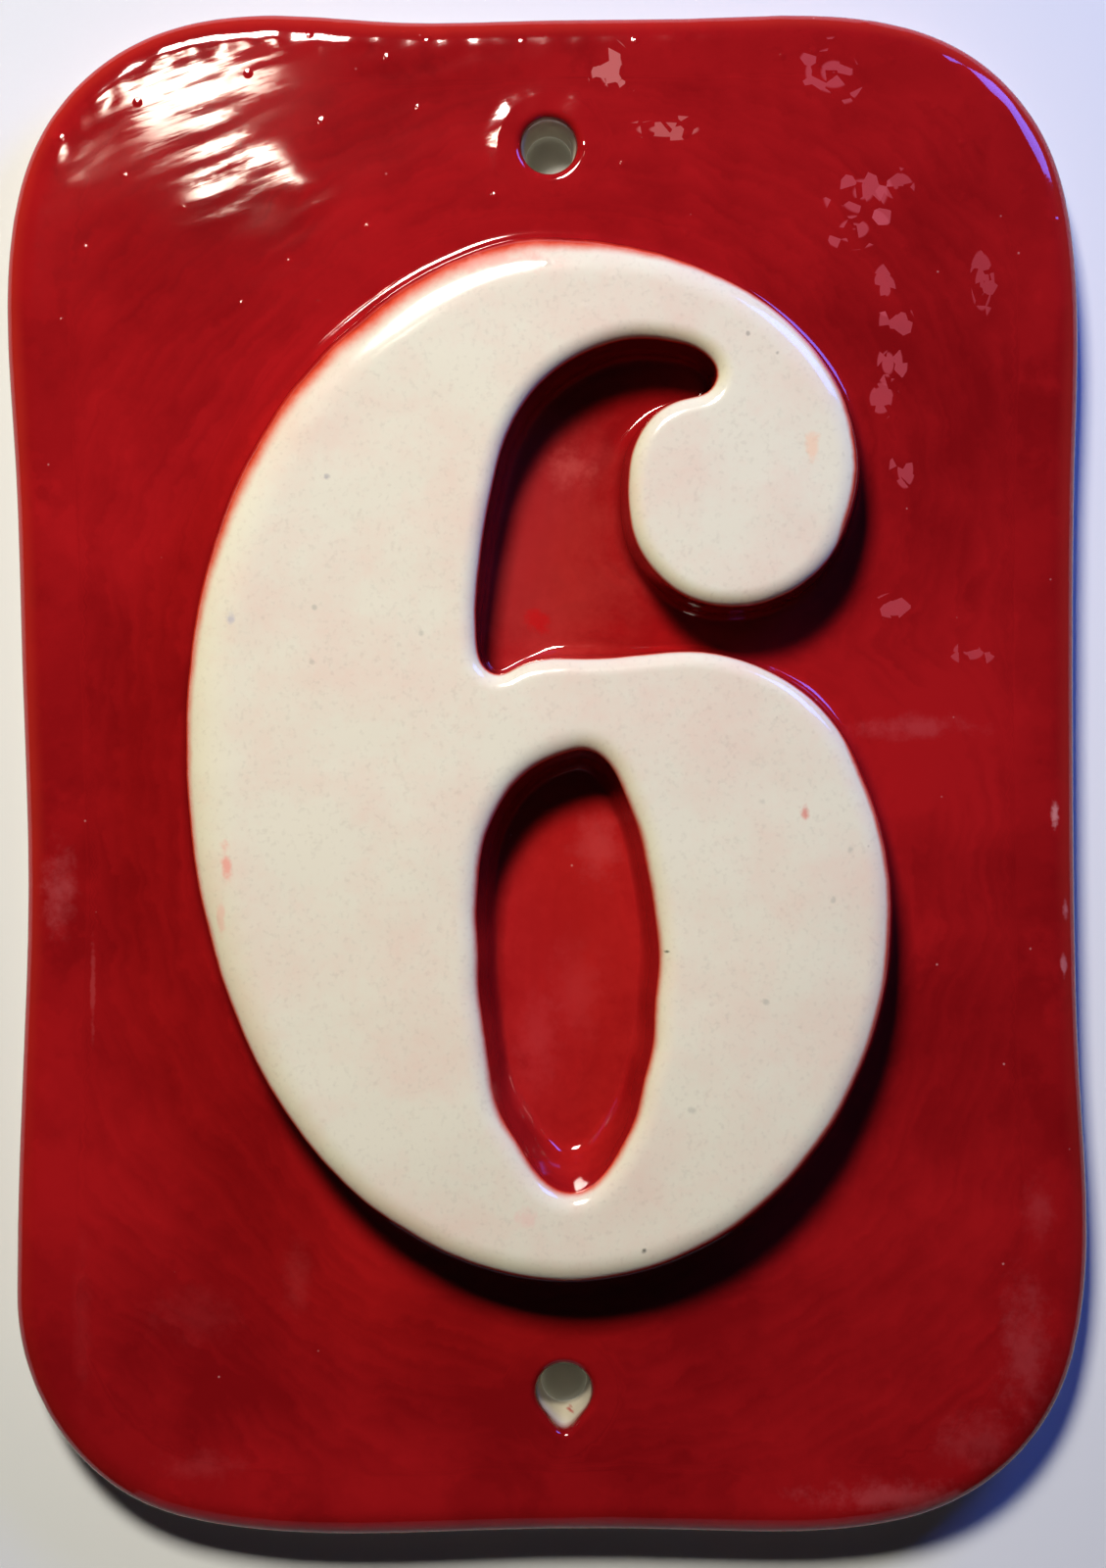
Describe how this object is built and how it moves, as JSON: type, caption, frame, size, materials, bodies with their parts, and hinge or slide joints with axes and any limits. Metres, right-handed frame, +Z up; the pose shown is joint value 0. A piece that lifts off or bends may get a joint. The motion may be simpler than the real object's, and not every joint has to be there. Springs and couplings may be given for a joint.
{
  "type": "house number plaque",
  "caption": "Hand-made glazed earthenware wall plaque: a round-cornered slab with a raised numeral and screw holes above and below it.",
  "frame": {"origin": "middle of the slab's outline, on its flat back", "axes": "+Z up the wall, +X to the right as seen from the front, -Y out of the front, so the back lies on the wall's plane"},
  "size_m": [0.1067, 0.015, 0.15],
  "materials": {
    "glazed_earthenware": "gloss red glaze, cream on the raised numeral"
  },
  "bodies": {
    "root": {"plaque": "glazed_earthenware"}
  },
  "joints": []
}
